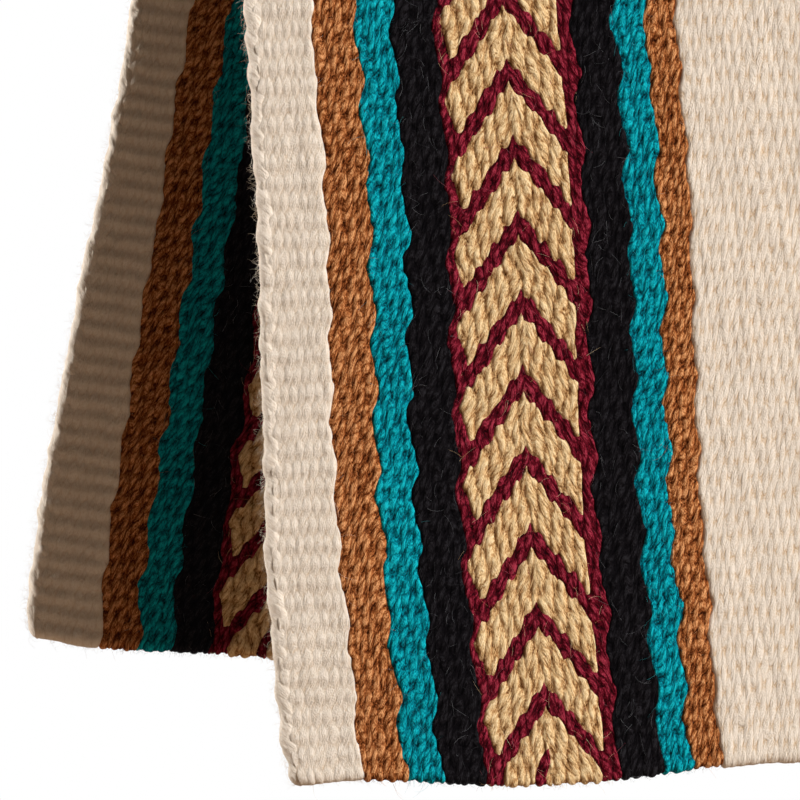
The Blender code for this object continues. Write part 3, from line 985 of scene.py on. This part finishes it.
def build_blanket():
    """Every piece of the blanket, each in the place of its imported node."""
    yarns = CREAM_PLAIN, CREAM_TWILL, COPPER, FINE_COPPER, TEAL, FINE_TEAL, BLACK, MAROON, GOLD
    materials = {yarn: wool(yarn.slot, yarn) for yarn in yarns}
    field_edges = []
    for side, end, fineness in ((-1, "left", FINE), (1, "right", COARSE)):
        cord = end_cord(f"{end}_twisted_end_cord", side)
        finish_piece(cord, wool("edge_cord"), [f"{end}_end_cord"])
        edge = END_CORD_DIAMETER + BAND_GAP
        for number, (band, width, yarn) in enumerate(BANDS):
            seed = FIRST_SEED + SEED_STEP * number + (RIGHT_SEED if side > 0 else 0)
            near = side * (HALF_LENGTH - edge + BAND_GAP / 2)
            if number == 0:
                near = side * (HALF_LENGTH - END_CORD_DIAMETER * BORDER_OVER_CORD)
            far = side * (HALF_LENGTH - edge - width - BAND_GAP / 2)
            near_edge = partial(band_edge, near, seed - SEED_STEP + EDGE_SEED, EDGE_SHARES[number])
            far_edge = partial(band_edge, far, seed + EDGE_SEED, EDGE_SHARES[number + 1])
            low_edge, high_edge = (near_edge, far_edge) if side < 0 else (far_edge, near_edge)
            if band == "gold_chevrons":
                centre = side * (HALF_LENGTH - edge - width / 2)
                chevrons = Chevrons(centre, side, seed)
                piece = gold_band(f"{end}_gold_chevron_weft", chevrons, seed, fineness)
                lattice = maroon_band(
                    f"{end}_maroon_lattice_weft", chevrons, low_edge, high_edge, seed, fineness)
                finish_piece(lattice, materials[MAROON], [f"{end}_maroon_lattice"])
                unfold(lattice, width)
            else:
                corded = side if number == 0 else 0
                piece = plain_band(
                    f"{end}_{band}_weft", low_edge, high_edge, yarn, fineness, seed, corded)
            finish_piece(piece, materials[yarn], [f"{end}_{band}"])
            unfold(piece, width)
            edge += width + BAND_GAP
        field_edges.append(far_edge)
    field = cream_field(*field_edges, FIELD_SEED)
    finish_piece(field, materials[CREAM_TWILL], ["cream_field"])
    unfold(field, FIELD_WIDTH)
    add_stray_fibres()


# The dark and the light of each kind of stray fibre, and how many there are. A part is 1 in so many
FIBRE_COLOURS = {
    "cream_wool": ((206, 186, 160), (240, 232, 220)),
    "copper_wool": ((120, 62, 26), (220, 160, 110)),
    "teal_wool": ((0, 90, 100), (60, 190, 200)),
    "black_wool": ((40, 38, 42), (130, 130, 134)),
    "maroon_wool": ((110, 20, 40), (190, 110, 120)),
    "gold_wool": ((190, 146, 94), (245, 222, 184)),
}
FIBRE_SEED = 5
FIBRES_PER_AREA = 62000
HEM_FIBRE_PART = 20
FIELD_FIBRE_PART = 3
CORD_FIBRES = 3200
FIELD_HEM_FIBRES = 1200
NEAR_FIELD_FIBRES = 1300
NEAR_FIELD_WIDTH = 0.03


def add_stray_fibres():
    """Loose hairs over every band, along the cords and under the hems, one piece for each colour."""
    random = np.random.default_rng(FIBRE_SEED)
    paths = {slot: [] for slot in FIBRE_COLOURS}
    for side in (-1, 1):
        edge = END_CORD_DIAMETER
        for _, width, yarn in BANDS:
            low, high = sorted((side * (HALF_LENGTH - edge), side * (HALF_LENGTH - edge - width)))
            count = round(width * HEM_TO_HEM * 2 * FIBRES_PER_AREA)
            slots = ["gold_wool", "maroon_wool"] if yarn is GOLD else [yarn.slot]
            for slot in slots:
                part = 2 * len(slots) if yarn in (BLACK, GOLD) else len(slots)
                paths[slot].append(surface_fibres(random, low, high, count // part))
            paths[yarn.slot].append(hem_fibres(random, low, high, count // HEM_FIBRE_PART))
            edge += width + BAND_GAP
        paths["cream_wool"].append(edge_fibres(random, side, CORD_FIBRES))
    field = FIELD_WIDTH / 2
    count = round(field * FIBRES_PER_AREA / FIELD_FIBRE_PART)
    paths["cream_wool"] += [
        surface_fibres(random, -field, field, count),
        surface_fibres(random, -field, -field + NEAR_FIELD_WIDTH, NEAR_FIELD_FIBRES),
        hem_fibres(random, -field, field, FIELD_HEM_FIBRES)]
    for slot, groups in paths.items():
        piece = fibre_mesh(f"stray_{slot}_fibres", np.concatenate(groups))
        piece.data.materials.append(fibre_wool(f"stray_{slot}", *FIBRE_COLOURS[slot]))
        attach(piece, "root")


# The camera, found from the stripes, hems and ribs in the photo
CAMERA_PLACE = (-0.4372, -1.2575, -0.3346)
CAMERA_YAW_PITCH_ROLL = (0.0467, 0.0438, 0.0499)
CAMERA_FOCAL_PIXELS = 3862
CAMERA_NEAR = 0.05
SENSOR_WIDTH = 36


def add_camera():
    """The photo's camera."""
    yaw, pitch, roll = CAMERA_YAW_PITCH_ROLL
    forward = np.array([
        math.sin(yaw) * math.cos(pitch), math.cos(yaw) * math.cos(pitch), math.sin(pitch)])
    level = np.array([math.cos(yaw), -math.sin(yaw), 0])
    upright = np.cross(level, forward)
    right = math.cos(roll) * level + math.sin(roll) * upright
    up = math.cos(roll) * upright - math.sin(roll) * level
    camera = place_object("camera", bpy.data.cameras.new("camera"))
    axes = [np.append(axis, 0) for axis in (right, up, -forward)]
    camera.matrix_world = Matrix(np.column_stack([*axes, np.append(CAMERA_PLACE, 1)]).tolist())
    camera.data.sensor_width = SENSOR_WIDTH
    camera.data.sensor_fit = "HORIZONTAL"
    camera.data.lens = CAMERA_FOCAL_PIXELS / PHOTO_PIXELS * SENSOR_WIDTH
    camera.data.clip_start = CAMERA_NEAR
    bpy.context.scene.camera = camera


# The lamps, which are soft squares: name, place, target, size and power
MIDDLE = (0, 0, -0.22)
LAMPS = (
    ("key", (2.9, -3.2, 1.7), MIDDLE, 1.8, 388),
    ("edge", (-2.0, 0.30, 0.2), (-0.45, 0, -0.2), 0.5, 45),
    ("back", (1.5, 3.7, 1.7), MIDDLE, 2.2, 190),
    ("top", (0, 0.2, 2.2), MIDDLE, 1.2, 12),
)

# The floor, which fades to white with distance, and the light of the studio's walls
FLOOR_HEIGHT = -0.80
FLOOR_SIZE = 12
FLOOR_COLOUR = (0.52, 0.52, 0.52, 1)
FLOOR_BOUNCE = (0.22, 0.15, 0.10, 1)
FLOOR_FADE_FROM = 0.7
FLOOR_FADE_TO = 2.6
FLOOR_ROUGHNESS = 0.9
FLOOR_SHINE = 0.5
WHITE = (1, 1, 1, 1)
AMBIENT = 0.035
AMBIENT_COLOUR = (1, 0.80, 0.62, 1)


def straight_look(tree):
    """1 where the camera, gloss or clear things look straight at a surface, and 0 for soft light."""
    path = add_node(tree, "LightPath", {})
    seen = Wire(tree, path.outputs["Is Camera Ray"])
    for name in ("Is Glossy Ray", "Is Transmission Ray"):
        seen = seen.maths("MAXIMUM", Wire(tree, path.outputs[name]))
    return seen


def blend_shaders(tree, share, first, second, output):
    """Send a blend of two shaders to the output: the first where the share is 0."""
    mixed = add_node(tree, "MixShader", {0: share, 1: first.outputs[0], 2: second.outputs[0]})
    tree.links.new(mixed.outputs[0], tree.nodes[output].inputs["Surface"])


def add_surroundings():
    """A pale floor well below the hems, a white backdrop and soft studio light."""
    scene = bpy.context.scene
    world = bpy.data.worlds.new("studio")
    world.use_nodes = True
    scene.world = world
    tree = world.node_tree
    soft = tree.nodes["Background"]
    soft.inputs["Color"].default_value = AMBIENT_COLOUR
    soft.inputs["Strength"].default_value = AMBIENT
    bright = add_node(tree, "Background", {"Color": WHITE, "Strength": 1})
    blend_shaders(tree, straight_look(tree), soft, bright, "World Output")

    data = bpy.data.meshes.new("floor")
    half = FLOOR_SIZE / 2
    corners = (-half, -half), (half, -half), (half, half), (-half, half)
    data.from_pydata([(x, y, FLOOR_HEIGHT) for x, y in corners], [], [(0, 1, 2, 3)])
    floor = place_object("floor", data)
    material, tree, shader = new_material("floor", FLOOR_ROUGHNESS, FLOOR_SHINE)
    seen = straight_look(tree)
    tree.links.new(mix(tree, seen, FLOOR_BOUNCE, FLOOR_COLOUR), shader.inputs["Base Color"])
    place = add_node(tree, "TexCoord", {}).outputs["Object"]
    distance = add_node(tree, "VectorMath", {0: place}, operation="LENGTH")
    fade = Wire(tree, distance.outputs["Value"]).ramp(FLOOR_FADE_FROM, FLOOR_FADE_TO) * seen
    white = add_node(tree, "Emission", {"Color": WHITE, "Strength": 1})
    blend_shaders(tree, fade, shader, white, "Material Output")
    data.materials.append(material)

    for name, place, target, size, power in LAMPS:
        data = bpy.data.lights.new(name, "AREA")
        data.size, data.energy = size, power
        lamp = place_object(name, data)
        lamp.location = place
        facing = Vector(target) - Vector(place)
        lamp.rotation_euler = facing.to_track_quat("-Z", "Y").to_euler()
    scene.view_settings.view_transform = "Standard"


add_camera()
build_blanket()
add_surroundings()
